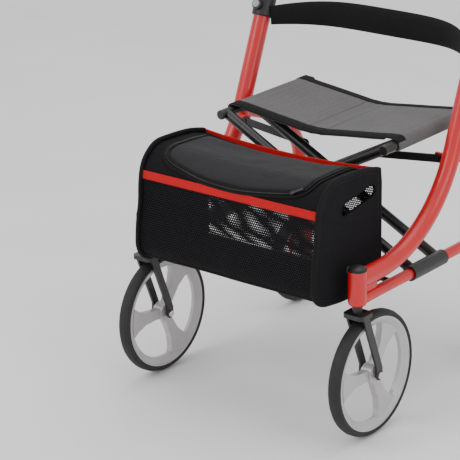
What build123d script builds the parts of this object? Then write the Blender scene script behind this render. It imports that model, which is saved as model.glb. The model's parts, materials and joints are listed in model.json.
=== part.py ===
from build123d import *
import math
import os

os.makedirs("parts", exist_ok=True)

# ---------------------------------------------------------------------------
# Side-folding rollator walker, millimetres.
# +X is the user's left, -Y is forward, +Z is up, the floor is z = 0.
# ---------------------------------------------------------------------------

# wheels and wheelbase
FRONT_R = 127.0          # 10 inch caster wheel
REAR_R = 101.5           # 8 inch rear wheel
WHEELBASE = 477.0
TRAIL = 46.0             # steering axis ahead of the front axle
TYRE_W = 28.0
TYRE_BAND = 12.0         # radial depth of the tyre
FRAME_X = 262.0          # plane of each side frame

YF = -(FRONT_R + WHEELBASE + REAR_R) / 2 + FRONT_R     # front axle
YR = YF + WHEELBASE                                     # rear axle
YS = YF - TRAIL                                         # steering axis

# side frame tubes
MAIN_R = 18.0
MAIN_BORE = 15.6
UPPER_Z = 333.0          # centre height of the level front run
ARC_R = 274.0
ARC_Y = YF + 21.0        # where the front run starts to curve up
LEAN = 68.0              # the upright's angle from level
MAIN_TOP_Z = 720.0
RAIL_R = 11.0
RAIL_Z = 290.0
LEG_R = 15.0
HEAD_R = 18.0
HEAD_Z = (282.0, 352.0)

# handles
HANDLE_R = 14.2
HANDLE_IN = 12.4
INSERT = 190.0
HANDLE_BEND_Z = 830.0
HANDLE_BEND_R = 60.0
GRIP_END = 342.0

# folding cross brace
SEAT_RAIL_X = 200.0
SEAT_RAIL_Z = 530.4
SEAT_RAIL_R = 10.0
ARM_R = 11.0
ARM1_Y = (-81.0, 4.0)
ARM2_Y = (-57.0, 28.0)
SEAT_RAIL_Y = (-98.0, 196.0)
SEAT_Y = (-62.0, 190.0)
SLEEVE_OUT = 15.5
SLEEVE_IN = 11.7
LINK_FRAME_Z = 483.0
LINK_ON_ARM = 82.22      # from the brace centre, up the arm
LINK_IN = 30.0           # link pivot, inboard of the side frame's plane
SEAT_HALF = 177.0        # each seat half, rail centre to inner edge
SAG = 7.0                # the seat halves' slope at rest
SEAT_LOW = 11.9          # the seat panel's underside, above the rail's centre

# bag
BAG_X = 215.0
BAG_Z = (275.0, 520.0)
BAG_Y = (YF - 116.0, YF + 96.0)


def write(name, shape):
    """One STEP per node, made a plain compound of its solids."""
    solids = shape.solids()
    out = solids[0] if len(solids) == 1 else Compound(children=list(solids))
    out.label = name
    export_step(out, "parts/" + name + ".step")


def both(name, shape):
    """The left piece, and its mirror image on the right."""
    write(name + "_left", shape)
    write(name + "_right", mirror(shape, about=Plane.YZ))


def rod(a, b, r, r_in=0.0):
    """A round bar or tube from a to b."""
    a, b = Vector(*a), Vector(*b)
    d = b - a
    plane = Plane(origin=a, z_dir=d)
    ring = Circle(r)
    if r_in:
        ring = ring - Circle(r_in)
    return extrude(plane * ring, amount=d.length)


def pipe(points, radius, r, r_in=0.0):
    """A bent tube along straight runs joined by tangent arcs."""
    path = FilletPolyline(*[Vector(*p) for p in points], radius=radius)
    start = Plane(origin=path @ 0, z_dir=path % 0)
    ring = Circle(r)
    if r_in:
        ring = ring - Circle(r_in)
    return sweep(start * ring, path=path)


def box(x, y, z):
    """A block between the given limits."""
    b = Box(x[1] - x[0], y[1] - y[0], z[1] - z[0])
    return Pos((x[0] + x[1]) / 2, (y[0] + y[1]) / 2, (z[0] + z[1]) / 2) * b


def plate(points, x, fillet_r=0.0):
    """A flat plate cut in the YZ plane, between two X limits."""
    face = make_face(Polyline(*[Vector(p[0], p[1]) for p in points], close=True))
    if fillet_r:
        face = fillet(face.vertices(), fillet_r)
    plane = Plane(origin=(x[0], 0, 0), x_dir=(0, 1, 0), z_dir=(1, 0, 0))
    return extrude(plane * face, amount=x[1] - x[0])


# ---------------------------------------------------------------------------
# side frame
# ---------------------------------------------------------------------------
lean = math.radians(LEAN)
arc_c = (ARC_Y, UPPER_Z + ARC_R)
p2 = (ARC_Y + ARC_R * math.sin(lean), arc_c[1] - ARC_R * math.cos(lean))
UP = (math.cos(lean), math.sin(lean))            # the upright's direction (y, z)


def on_upright(z):
    return p2[0] + (z - p2[1]) * UP[0] / UP[1]


top_y = on_upright(MAIN_TOP_Z)
mid = math.radians(LEAN / 2)
line_a = Line((FRAME_X, YS, UPPER_Z), (FRAME_X, ARC_Y, UPPER_Z))
arc_m = ThreePointArc(
    (FRAME_X, ARC_Y, UPPER_Z),
    (FRAME_X, ARC_Y + ARC_R * math.sin(mid), arc_c[1] - ARC_R * math.cos(mid)),
    (FRAME_X, p2[0], p2[1]),
)
line_b = Line((FRAME_X, p2[0], p2[1]), (FRAME_X, top_y, MAIN_TOP_Z))
main_path = Wire([line_a, arc_m, line_b])
start = Plane(origin=(FRAME_X, YS, UPPER_Z), z_dir=(0, 1, 0))
head_cut = rod((FRAME_X, YS, 200), (FRAME_X, YS, 420), HEAD_R + 0.1)
main_tube = sweep(start * (Circle(MAIN_R) - Circle(MAIN_BORE)), path=main_path) - head_cut

# rear leg: leaves the upright's foot, bends down to the rear fork
leg_top = (FRAME_X, 44.0, 499.0)
LEG_FOOT_Z = 222.0
leg_full = pipe(
    [leg_top, (FRAME_X, YR, 425.0), (FRAME_X, YR, LEG_FOOT_Z)], 150.0, LEG_R, LEG_R - 2.2
)
main_solid = sweep(start * Circle(MAIN_R + 0.1), path=main_path)
rear_leg = leg_full - main_solid
rear_leg = max(rear_leg.solids(), key=lambda s: s.volume)

# lower rail with the head gusset
rail_solid = rod((FRAME_X, YS, RAIL_Z), (FRAME_X, YR, RAIL_Z), RAIL_R)
rail = rod((FRAME_X, YS, RAIL_Z), (FRAME_X, YR, RAIL_Z), RAIL_R, RAIL_R - 2.0)
gusset = plate(
    [
        (YS + 10, RAIL_Z + 6),
        (YF + 6, RAIL_Z + 6),
        (YF + 15, RAIL_Z + 14),
        (YF + 15, UPPER_Z - 8),
        (YS + 10, UPPER_Z - 8),
    ],
    (FRAME_X - 3, FRAME_X + 3),
)
gusset = gusset - rail_solid
leg_solid = rod((FRAME_X, YR, LEG_FOOT_Z), (FRAME_X, YR, 340.0), LEG_R + 0.1)
lower_rail = (rail + gusset) - head_cut - main_solid - leg_solid

# caster head: tube with a rounded foot, bored for the fork's stem
head = rod((FRAME_X, YS, HEAD_Z[0]), (FRAME_X, YS, HEAD_Z[1]), HEAD_R)
head = fillet(head.edges().filter_by(GeomType.CIRCLE).sort_by(Axis.Z)[0], 7.0)
caster_head = head - rod((FRAME_X, YS, 270), (FRAME_X, YS, 346), 8.0)

# domed cap in the head's top
cap = rod((FRAME_X, YS, HEAD_Z[1]), (FRAME_X, YS, HEAD_Z[1] + 3), HEAD_R)
dome_r = 27.0
dome = Pos(FRAME_X, YS, HEAD_Z[1] + 11 - dome_r) * Sphere(dome_r)
dome = dome & box(
    (FRAME_X - 17, FRAME_X + 17), (YS - 17, YS + 17), (HEAD_Z[1] + 2.5, HEAD_Z[1] + 14)
)
dome = dome & rod((FRAME_X, YS, HEAD_Z[1]), (FRAME_X, YS, HEAD_Z[1] + 20), HEAD_R - 1)
head_cap = cap + dome

both("lower_rail", lower_rail)
both("rear_leg", rear_leg)
both("caster_head", caster_head)
both("head_cap", head_cap)

# ---------------------------------------------------------------------------
# front fork, wheel, axle
# ---------------------------------------------------------------------------
CROWN_Z = (258.0, 267.0)
BLADE_X = TYRE_W / 2 + 5.0            # centre of each blade from the wheel plane
crown_face = RectangleRounded(2 * BLADE_X + 9, 40, 9)
crown = extrude(Pos(FRAME_X, YS + 2, CROWN_Z[0]) * crown_face, amount=CROWN_Z[1] - CROWN_Z[0])
stem = rod((FRAME_X, YS, CROWN_Z[1] - 1), (FRAME_X, YS, 344), 7.6)
collar = rod((FRAME_X, YS, CROWN_Z[1] - 1), (FRAME_X, YS, HEAD_Z[0] - 1.0), 10.0)
AX_Z = FRONT_R
d = Vector(0, YF - YS, AX_Z - CROWN_Z[0])
blades = None
for sx in (-1, 1):
    x0 = FRAME_X + sx * BLADE_X
    blade = plate(
        [
            (YS - 9, CROWN_Z[0] + 1),
            (YS + 10, CROWN_Z[0] + 1),
            (YF + 9, AX_Z + 14),
            (YF + 10, AX_Z - 2),
            (YF + 4, AX_Z - 10),
            (YF - 4, AX_Z - 10),
            (YF - 10, AX_Z - 2),
            (YF - 9, AX_Z + 16),
        ],
        (x0 - 2.5, x0 + 2.5),
        2.5,
    )
    blades = blade if blades is None else blades + blade
front_fork = crown + stem + collar + blades
axle_f_hole = rod((FRAME_X - 60, YF, AX_Z), (FRAME_X + 60, YF, AX_Z), 4.3)
front_fork = front_fork - axle_f_hole
both("front_fork", front_fork)


def axle(y, z, half, r):
    """A through axle with a low domed nut at each end."""
    a = rod((FRAME_X - half, y, z), (FRAME_X + half, y, z), r)
    for sx in (-1, 1):
        xa = FRAME_X + sx * half
        nut = Cylinder(7.0, 4.0)
        nut = fillet(nut.edges().sort_by(Axis.Z)[-1], 1.4)
        nut = Plane(origin=(xa + sx * 2.0, y, z), z_dir=(sx, 0, 0)) * nut
        a = a + nut
    return a


AXLE_HALF = BLADE_X + 2.5 + 0.1
both("front_axle", axle(YF, AX_Z, AXLE_HALF, 4.2))


def tyre(y, z, R, half):
    """A rounded tyre, revolved about the axle."""
    ri = R - TYRE_BAND
    prof = Polyline(
        (ri, -half + 3),
        (ri + 4, -half + 0.5),
        (R - 6, -half),
        (R - 2.2, -half + 4),
        (R, -4),
        (R, 4),
        (R - 2.2, half - 4),
        (R - 6, half),
        (ri + 4, half - 0.5),
        (ri, half - 3),
        close=True,
    )
    face = make_face(prof)
    ring = revolve(Plane.XZ * face, axis=Axis.Z)
    return Pos(FRAME_X, y, z) * Rot(0, 90, 0) * ring


def rim(y, z, R, half, bore, turn):
    """A three-spoke wheel disc: an outer hoop, three flared spokes and a hub."""
    ri = R - TYRE_BAND - 0.1
    hoop_in = ri - 17.0
    hub_r = 19.0
    hoop = make_face(
        Polyline(
            (hoop_in + 4, -half + 7.5),
            (ri - 5, -half + 2),
            (ri, -half + 2),
            (ri, half - 2),
            (ri - 5, half - 2),
            (hoop_in + 4, half - 7.5),
            (hoop_in, half - 10.5),
            (hoop_in, -half + 10.5),
            close=True,
        )
    )
    wheel = revolve(Plane.XZ * hoop, axis=Axis.Z)
    for k in range(3):
        a = turn + k * 120.0
        pts = [
            (hub_r - 8, -10),
            (hub_r + 14, -10.5),
            (hoop_in * 0.62, -13),
            (hoop_in * 0.85, -22),
            (hoop_in + 4, -36),
            (hoop_in + 4, 36),
            (hoop_in * 0.85, 22),
            (hoop_in * 0.62, 13),
            (hub_r + 14, 10.5),
            (hub_r - 8, 10),
        ]
        spoke_face = make_face(Polyline(*pts, close=True))
        spoke = extrude(spoke_face, amount=7.0, both=True)
        spoke = spoke & Cylinder(hoop_in + 3, 40)
        wheel = wheel + Rot(0, 0, a) * spoke
    wheel = wheel + Cylinder(hub_r, 2 * half - 5)
    wheel = wheel - Cylinder(bore, 100)
    return Pos(FRAME_X, y, z) * Rot(0, 90, 0) * wheel


HALF = TYRE_W / 2
both("front_tyre", tyre(YF, FRONT_R, FRONT_R, HALF))
both("front_rim", rim(YF, FRONT_R, FRONT_R, HALF, 4.6, 27.0))
both("rear_tyre", tyre(YR, REAR_R, REAR_R, HALF))
both("rear_rim", rim(YR, REAR_R, REAR_R, HALF, 4.6, -60.0))
both("rear_axle", axle(YR, REAR_R, AXLE_HALF, 4.2))

# rear fork: a capped bracket under the leg with a cheek each side of the wheel
rear_top = box(
    (FRAME_X - BLADE_X - 2.5, FRAME_X + BLADE_X + 2.5), (YR - 17, YR + 17), (LEG_FOOT_Z - 9, LEG_FOOT_Z - 0.1)
)
cheeks = None
for sx in (-1, 1):
    x0 = FRAME_X + sx * BLADE_X
    c = plate(
        [
            (YR - 17, LEG_FOOT_Z - 0.1),
            (YR + 17, LEG_FOOT_Z - 0.1),
            (YR + 14, REAR_R + 8),
            (YR + 9, REAR_R - 9),
            (YR - 9, REAR_R - 9),
            (YR - 14, REAR_R + 8),
        ],
        (x0 - 2.5, x0 + 2.5),
        4.0,
    )
    cheeks = c if cheeks is None else cheeks + c
rear_fork = rear_top + cheeks - rod((FRAME_X - 60, YR, REAR_R), (FRAME_X + 60, YR, REAR_R), 4.3)

# ---------------------------------------------------------------------------
# rear brake: a shoe on a pivot behind the fork, pulled by a short cable
# ---------------------------------------------------------------------------
BR_Y, BR_Z = YR + 34.0, 210.0         # shoe pivot
ear = None
for sx in (-1, 1):
    e = plate(
        [
            (YR + 15.2, LEG_FOOT_Z + 8),
            (YR + 15.2, LEG_FOOT_Z - 14),
            (BR_Y + 7, BR_Z - 8),
            (BR_Y + 7, BR_Z + 8),
        ],
        (FRAME_X + sx * 9.5 - 1.5, FRAME_X + sx * 9.5 + 1.5),
        2.0,
    )
    ear = e if ear is None else ear + e
band = rod((FRAME_X, YR, LEG_FOOT_Z + 1), (FRAME_X, YR, LEG_FOOT_Z + 15), LEG_R + 3.5, LEG_R + 0.1)
pin = rod((FRAME_X - 13, BR_Y, BR_Z), (FRAME_X + 13, BR_Y, BR_Z), 2.5)
rear_fork = rear_fork + band + ear + pin - rod((FRAME_X, YR, LEG_FOOT_Z - 0.05), (FRAME_X, YR, LEG_FOOT_Z + 60), LEG_R + 0.1)
rear_fork = max(rear_fork.solids(), key=lambda s: s.volume)
both("rear_fork", rear_fork)

# the shoe: boss on the pivot, a finger that meets the tread and an arm for the cable
boss = rod((FRAME_X - 7.4, BR_Y, BR_Z), (FRAME_X + 7.4, BR_Y, BR_Z), 6.0)
tread_gap = 3.0
a0, a1 = math.radians(62.0), math.radians(38.0)
rs = REAR_R + tread_gap
shoe_pts = [
    (YR + rs * math.cos(a0), REAR_R + rs * math.sin(a0)),
    (YR + rs * math.cos((a0 + a1) / 2), REAR_R + rs * math.sin((a0 + a1) / 2) + 0.6),
    (YR + rs * math.cos(a1), REAR_R + rs * math.sin(a1)),
    (YR + (rs + 9) * math.cos(a1), REAR_R + (rs + 9) * math.sin(a1)),
    (BR_Y + 6, BR_Z - 2),
    (BR_Y - 4, BR_Z + 2),
    (BR_Y - 5, BR_Z - 4),
]
shoe = plate(shoe_pts, (FRAME_X - 7.4, FRAME_X + 7.4))
arm = plate(
    [(BR_Y + 2, BR_Z - 3), (BR_Y - 6, BR_Z + 1), (BR_Y - 15, BR_Z + 3), (BR_Y - 15, BR_Z + 9), (BR_Y - 8, BR_Z + 9), (BR_Y + 2, BR_Z + 5)],
    (FRAME_X - 3, FRAME_X + 3),
)
brake_shoe = boss + shoe + arm - rod((FRAME_X - 20, BR_Y, BR_Z), (FRAME_X + 20, BR_Y, BR_Z), 2.9)
brake_shoe = brake_shoe - Pos(FRAME_X, YR, REAR_R) * Rot(0, 90, 0) * Cylinder(REAR_R + 2.4, 60)
brake_shoe = max(brake_shoe.solids(), key=lambda s: s.volume)
both("brake_shoe", brake_shoe)

# short outer cable from a ferrule on the leg to just above the shoe's arm
CABLE_R = 2.5
cable_y = YR + LEG_R + 7.2
cable = pipe(
    [(FRAME_X, YR + LEG_R + 3.4, 345.0), (FRAME_X, YR + LEG_R + 3.4, 330.0), (FRAME_X, cable_y, 290.0), (FRAME_X, cable_y, BR_Z + 17.0)],
    30.0,
    CABLE_R,
)
ferrule = rod((FRAME_X, cable_y, BR_Z + 13.0), (FRAME_X, cable_y, BR_Z + 26.0), 3.6)
port = rod((FRAME_X, YR + LEG_R + 3.4, 344.0), (FRAME_X, YR + LEG_R + 3.4, 358.0), 3.2)
brake_cable = cable + ferrule + port
both("brake_cable", brake_cable)

# ---------------------------------------------------------------------------
# telescoping handle, grip, brake lever
# ---------------------------------------------------------------------------
in_z = MAIN_TOP_Z - INSERT * UP[1]
in_y = on_upright(in_z)
hb_y = on_upright(HANDLE_BEND_Z)
end_arc_y = hb_y + HANDLE_BEND_R * math.sin(lean)
grip_z = HANDLE_BEND_Z + HANDLE_BEND_R * (1 - math.cos(lean))
h_a = Line((FRAME_X, in_y, in_z), (FRAME_X, hb_y, HANDLE_BEND_Z))
hc = (hb_y + HANDLE_BEND_R * UP[1], HANDLE_BEND_Z - HANDLE_BEND_R * UP[0])
hm = math.radians(90 + LEAN / 2)
h_arc = ThreePointArc(
    (FRAME_X, hb_y, HANDLE_BEND_Z),
    (FRAME_X, hc[0] + HANDLE_BEND_R * math.cos(hm), hc[1] + HANDLE_BEND_R * math.sin(hm)),
    (FRAME_X, hc[0], hc[1] + HANDLE_BEND_R),
)
grip_z = hc[1] + HANDLE_BEND_R
grip_y0 = hc[0]
h_b = Line((FRAME_X, grip_y0, grip_z), (FRAME_X, GRIP_END - 4, grip_z))
h_start = Plane(origin=(FRAME_X, in_y, in_z), z_dir=(0, UP[0], UP[1]))
handle_path = Wire([h_a, h_arc, h_b])
handle_tube = sweep(h_start * (Circle(HANDLE_R) - Circle(HANDLE_IN)), path=handle_path)
both("handle_tube", handle_tube)

GRIP_Y0 = grip_y0 + 8.0
g = rod((FRAME_X, GRIP_Y0, grip_z), (FRAME_X, GRIP_END, grip_z), 17.5)
g = fillet(g.edges().filter_by(GeomType.CIRCLE), 4.0)
palm = Pos(FRAME_X, (GRIP_Y0 + GRIP_END) / 2 + 4, grip_z - 1) * scale(Sphere(20.0), by=(1.0, 2.1, 0.95))
g = g + (palm & box((FRAME_X - 30, FRAME_X + 30), (GRIP_Y0 + 1, GRIP_END - 1), (grip_z - 40, grip_z + 40)))
grip = g - rod((FRAME_X, GRIP_Y0 - 10, grip_z), (FRAME_X, GRIP_END - 3.9, grip_z), HANDLE_R + 0.05)
both("grip", grip)

# brake housing clamped round the tube just below the bend, with two ears
HZ = HANDLE_BEND_Z - 16.0
hy = on_upright(HZ)
ax = Vector(0, UP[0], UP[1])
nrm = Vector(0, UP[1], -UP[0])          # toward the user, square to the tube
c0 = Vector(FRAME_X, hy, HZ)
house = rod(tuple(c0 - ax * 17), tuple(c0 + ax * 17), 19.5)
house = fillet(house.edges().filter_by(GeomType.CIRCLE), 2.5)
LV = c0 + nrm * 32.0 + ax * 2.0           # lever pivot
for sx in (-1, 1):
    ear_a = Vector(FRAME_X + sx * 9.0, c0.Y, c0.Z)
    e_plane = Plane(origin=(FRAME_X + sx * 9.0 - 2, 0, 0), x_dir=(0, 1, 0), z_dir=(1, 0, 0))
    e0 = c0 + nrm * 10
    q = [e0 - ax * 11, LV - ax * 8 + nrm * 4, LV + ax * 8 + nrm * 4, e0 + ax * 11]
    f = make_face(Polyline(*[Vector(v.Y, v.Z) for v in q], close=True))
    f = fillet(f.vertices(), 3.0)
    house = house + extrude(e_plane * f, amount=4.0)
house = house + rod((FRAME_X - 12, LV.Y, LV.Z), (FRAME_X + 12, LV.Y, LV.Z), 2.6)
brake_housing = house - rod(tuple(c0 - ax * 40), tuple(c0 + ax * 40), HANDLE_R + 0.05)
# room between the ears for the lever's boss
both("brake_housing", max(brake_housing.solids(), key=lambda s: s.volume))

lev = rod((FRAME_X - 6.4, LV.Y, LV.Z), (FRAME_X + 6.4, LV.Y, LV.Z), 7.0)
LEV_END_Y = GRIP_END - 14.0
lz = grip_z - 52.0
lever_pts = [
    (LV.Y - 2, LV.Z + 6),
    (LV.Y + 30, lz + 6),
    (LEV_END_Y - 10, lz + 1),
    (LEV_END_Y, lz - 3),
    (LEV_END_Y, lz - 10),
    (LEV_END_Y - 12, lz - 8),
    (LV.Y + 30, lz - 8),
    (LV.Y + 2, LV.Z - 6.5),
]
blade = plate(lever_pts, (FRAME_X - 6.4, FRAME_X + 6.4), 1.5)
brake_lever = lev + blade - rod((FRAME_X - 20, LV.Y, LV.Z), (FRAME_X + 20, LV.Y, LV.Z), 3.0)
brake_lever = brake_lever - rod(tuple(c0 - ax * 60), tuple(c0 + ax * 60), 20.2)
both("brake_lever", max(brake_lever.solids(), key=lambda s: s.volume))

# collar on the upright's top, with its press button
CZ = MAIN_TOP_Z
cc = Vector(FRAME_X, on_upright(CZ), CZ)
collar_b = rod(tuple(cc - ax * 42), tuple(cc + ax * 8), 22.5)
collar_b = fillet(collar_b.edges().filter_by(GeomType.CIRCLE), 3.0)
but_c = cc - ax * 20 - nrm * 20.0
boss_b = rod(tuple(cc - ax * 20 - nrm * 19), tuple(cc - ax * 20 - nrm * 29), 11.5)
collar_b = collar_b + boss_b
collar_b = collar_b - rod(tuple(cc - ax * 60), tuple(cc + ax * 0.1), MAIN_R + 0.05)
collar_b = collar_b - rod(tuple(cc - ax * 60), tuple(cc + ax * 60), HANDLE_R + 0.6)
collar_b = collar_b - rod(tuple(cc - ax * 20 - nrm * 18.5), tuple(cc - ax * 20 - nrm * 40), 8.3)
both("height_collar", max(collar_b.solids(), key=lambda s: s.volume))
btn = rod(tuple(cc - ax * 20 - nrm * 23.0), tuple(cc - ax * 20 - nrm * 33.5), 7.8)
btn = fillet(btn.edges().filter_by(GeomType.CIRCLE).sort_by(Axis.Y)[0], 1.2)
both("height_button", btn)

# ---------------------------------------------------------------------------
# folding cross brace, seat rails, seat halves, links
# ---------------------------------------------------------------------------
low = Vector(FRAME_X, 0, RAIL_Z)
high = Vector(-SEAT_RAIL_X, 0, SEAT_RAIL_Z)
arm_dir = (high - low).normalized()
centre = low + arm_dir * (FRAME_X / abs(arm_dir.X))
BRACE_Z = centre.Z


def brace(ys, name):
    """Arm with its lower sleeve on the +X side and its seat rail on the -X side."""
    y_a, y_b = ys
    sl = rod((FRAME_X, y_a - 15, RAIL_Z), (FRAME_X, y_b + 15, RAIL_Z), SLEEVE_OUT)
    shape = sl
    for y in ys:
        a = Vector(FRAME_X, y, RAIL_Z)
        b = Vector(-SEAT_RAIL_X, y, SEAT_RAIL_Z)
        shape = shape + rod(tuple(a + arm_dir * 4), tuple(b), ARM_R)
    cut = rod((FRAME_X, -400, RAIL_Z), (FRAME_X, 400, RAIL_Z), SLEEVE_IN)
    top = rod((-SEAT_RAIL_X, -400, SEAT_RAIL_Z), (-SEAT_RAIL_X, 400, SEAT_RAIL_Z), SEAT_RAIL_R + 0.1)
    shape = shape - cut - top
    # hollow the two tubes, but not their ends
    for y in ys:
        a = Vector(FRAME_X, y, RAIL_Z)
        b = Vector(-SEAT_RAIL_X, y, SEAT_RAIL_Z)
        hollow_a = rod(tuple(a + arm_dir * 26), tuple(a + arm_dir * (centre - low).length - arm_dir * 14), ARM_R - 1.8)
        hollow_b = rod(tuple(a + arm_dir * ((centre - low).length + 14)), tuple(b - arm_dir * 24), ARM_R - 1.8)
        shape = shape - hollow_a - hollow_b
        # centre bore for the brace bolt
        shape = shape - rod((0, y - 30, BRACE_Z), (0, y + 30, BRACE_Z), 4.6)
    return shape


arm_1 = brace(ARM1_Y, "brace_arm_1")
arm_2 = mirror(brace(ARM2_Y, "brace_arm_2"), about=Plane.YZ)

# link: frame lug to a pin on the arm, one each side
q_pt = Vector(FRAME_X - LINK_IN, 0, LINK_FRAME_Z)
to_right_top = arm_dir                              # arm_1 rises toward -X
p_right = centre + to_right_top * LINK_ON_ARM       # on arm_1, near (-80, 468)
p_left = Vector(-p_right.X, 0, p_right.Z)           # on arm_2
LINK_L = (Vector(-q_pt.X, 0, q_pt.Z) - p_right).length


def link_plate(a, b, y, t, w):
    """A flat bar with round ends between two pivots, in an XZ plane."""
    bar_d = (b - a).normalized()
    side = Vector(-bar_d.Z, 0, bar_d.X)
    pl = Plane(origin=(0, y, 0), x_dir=(1, 0, 0), z_dir=(0, -1, 0))
    pts = [a + side * w, b + side * w, b - side * w, a - side * w]
    f = make_face(Polyline(*[Vector(v.X, v.Z) for v in pts], close=True))
    body = extrude(pl * f, amount=t)
    for e in (a, b):
        body = body + rod((e.X, y, e.Z), (e.X, y - t, e.Z), w)
    return body


both_pts = {"left": (q_pt, p_left), "right": (Vector(-q_pt.X, 0, q_pt.Z), p_right)}
# each link lies just behind its arm's rear tube, with its lug behind it
for side_name, (qa, pb) in both_pts.items():
    arm_y = ARM2_Y[1] if side_name == "left" else ARM1_Y[1]
    ly = arm_y + ARM_R + 5.5                       # the link's rear face
    bar = link_plate(qa, pb, ly, 4.0, 8.0)
    # pivot pin in the lug, with a head on the front; rivet head on the open end's rear
    bar = bar + rod((qa.X, ly - 1, qa.Z), (qa.X, ly + 8.4, qa.Z), 3.5)
    bar = bar + rod((qa.X, ly - 6.0, qa.Z), (qa.X, ly - 3.9, qa.Z), 5.5)
    bar = bar + rod((pb.X, ly - 1, pb.Z), (pb.X, ly + 2.0, pb.Z), 5.5)
    write("fold_link_" + side_name, bar)
    boss = rod((pb.X, arm_y + 8, pb.Z), (pb.X, ly - 4.7, pb.Z), 6.0)
    if side_name == "left":
        arm_2 = arm_2 + boss
    else:
        arm_1 = arm_1 + boss
    # lug welded to the upright's inner side
    sx = 1 if side_name == "left" else -1
    lug = box((FRAME_X - LINK_IN - 9, FRAME_X - 6), (ly + 1.0, ly + 7.5), (LINK_FRAME_Z - 10, LINK_FRAME_Z + 10))
    lug = lug - rod((FRAME_X - LINK_IN, 0, LINK_FRAME_Z), (FRAME_X - LINK_IN, 80, LINK_FRAME_Z), 3.9)
    lug = lug - sweep(start * Circle(MAIN_R - 0.5), path=main_path)
    lug = max(lug.solids(), key=lambda s: s.volume if s.center().X < FRAME_X else 0)
    tube_side = main_tube + lug
    write("main_tube_" + side_name, tube_side if sx > 0 else mirror(tube_side, about=Plane.YZ))

write("brace_arm_1", arm_1)
write("brace_arm_2", arm_2)

# bolts through the brace centre: one front pair and one rear pair
bolts = []
for ya, yb in ((ARM1_Y[0], ARM2_Y[0]), (ARM1_Y[1], ARM2_Y[1])):
    b = rod((0, ya - ARM_R + 0.6 - 0.6, BRACE_Z), (0, yb + ARM_R, BRACE_Z), 4.2)
    b = b + rod((0, ya - ARM_R - 5.2, BRACE_Z), (0, ya - ARM_R - 0.2, BRACE_Z), 8.0)
    b = b + rod((0, yb + ARM_R + 0.4, BRACE_Z), (0, yb + ARM_R + 5.2, BRACE_Z), 7.0)
    b = b + rod((0, ya - ARM_R - 0.3, BRACE_Z), (0, yb + ARM_R + 0.5, BRACE_Z), 4.2)
    bolts.append(b)
write("brace_bolts", Compound(children=bolts))

# seat rails run along the arms' upper ends
for side_name, sx in (("right", -1), ("left", 1)):
    r = rod((sx * SEAT_RAIL_X, SEAT_RAIL_Y[0], SEAT_RAIL_Z), (sx * SEAT_RAIL_X, SEAT_RAIL_Y[1], SEAT_RAIL_Z), SEAT_RAIL_R, SEAT_RAIL_R - 2)
    for ye in SEAT_RAIL_Y:
        s = 1 if ye > 0 else -1
        plug = rod((sx * SEAT_RAIL_X, ye - s * 6, SEAT_RAIL_Z), (sx * SEAT_RAIL_X, ye + s * 3, SEAT_RAIL_Z), SEAT_RAIL_R)
        plug = fillet(plug.edges().filter_by(GeomType.CIRCLE), 2.0)
        r = r + plug
    write("seat_rail_" + side_name, r)

# seat halves: a slung panel each side with a hem round the rail
sag = math.radians(SAG)
for side_name, sx in (("right", -1), ("left", 1)):
    ring = rod((sx * SEAT_RAIL_X, SEAT_Y[0], SEAT_RAIL_Z), (sx * SEAT_RAIL_X, SEAT_Y[1], SEAT_RAIL_Z), SEAT_RAIL_R + 1.4)
    pl = Plane(origin=(sx * SEAT_RAIL_X, SEAT_Y[0], SEAT_RAIL_Z), x_dir=(-sx * math.cos(sag), 0, -math.sin(sag)), z_dir=(0, 1, 0))
    up_sign = 1.0 if (pl.y_dir.Z > 0) else -1.0

    def slab(x0, x1, h0, h1, y0, y1):
        lo, hi = sorted((up_sign * h0, up_sign * h1))
        f = Pos((x0 + x1) / 2, (lo + hi) / 2) * Rectangle(x1 - x0, hi - lo)
        return extrude(Pos(0, y0 - SEAT_Y[0], 0) * (pl * f), amount=y1 - y0)

    seat = ring + slab(0.0, SEAT_HALF, SEAT_LOW, SEAT_LOW + 2.5, *SEAT_Y) + slab(-3.0, 9.0, 9.0, SEAT_LOW + 2.5, *SEAT_Y)
    seat = seat - rod((sx * SEAT_RAIL_X, SEAT_Y[0] - 5, SEAT_RAIL_Z), (sx * SEAT_RAIL_X, SEAT_Y[1] + 5, SEAT_RAIL_Z), SEAT_RAIL_R + 0.35)
    # room for the arms where they meet the rail
    for y in (ARM1_Y if side_name == "right" else ARM2_Y):
        seat = seat - slab(-30.0, 40.0, -30.0, SEAT_LOW - 0.2, y - ARM_R - 1.5, y + ARM_R + 1.5)
        seat = seat - rod((sx * SEAT_RAIL_X, y - ARM_R - 1.5, SEAT_RAIL_Z), (sx * SEAT_RAIL_X, y + ARM_R + 1.5, SEAT_RAIL_Z), SEAT_RAIL_R + 1.6)
    write("seat_half_" + side_name, seat)

# the seat's soft middle, which creases as the halves drop
crease_x = SEAT_HALF * math.cos(sag)
cz = SEAT_RAIL_Z - SEAT_HALF * math.sin(sag) + SEAT_LOW * math.cos(sag)
edge_x = SEAT_RAIL_X - crease_x - 3.0
mid_pts = [(-edge_x, cz), (0, cz - edge_x * math.tan(sag)), (edge_x, cz), (edge_x, cz + 2.4), (0, cz + 2.4 - edge_x * math.tan(sag)), (-edge_x, cz + 2.4)]
mid_pl = Plane(origin=(0, SEAT_Y[0], 0), x_dir=(1, 0, 0), z_dir=(0, -1, 0))
mid_face = make_face(Polyline(*[Vector(*p) for p in mid_pts], close=True))
write("seat_crease", extrude(mid_pl * mid_face, amount=-(SEAT_Y[1] - SEAT_Y[0])))

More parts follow.
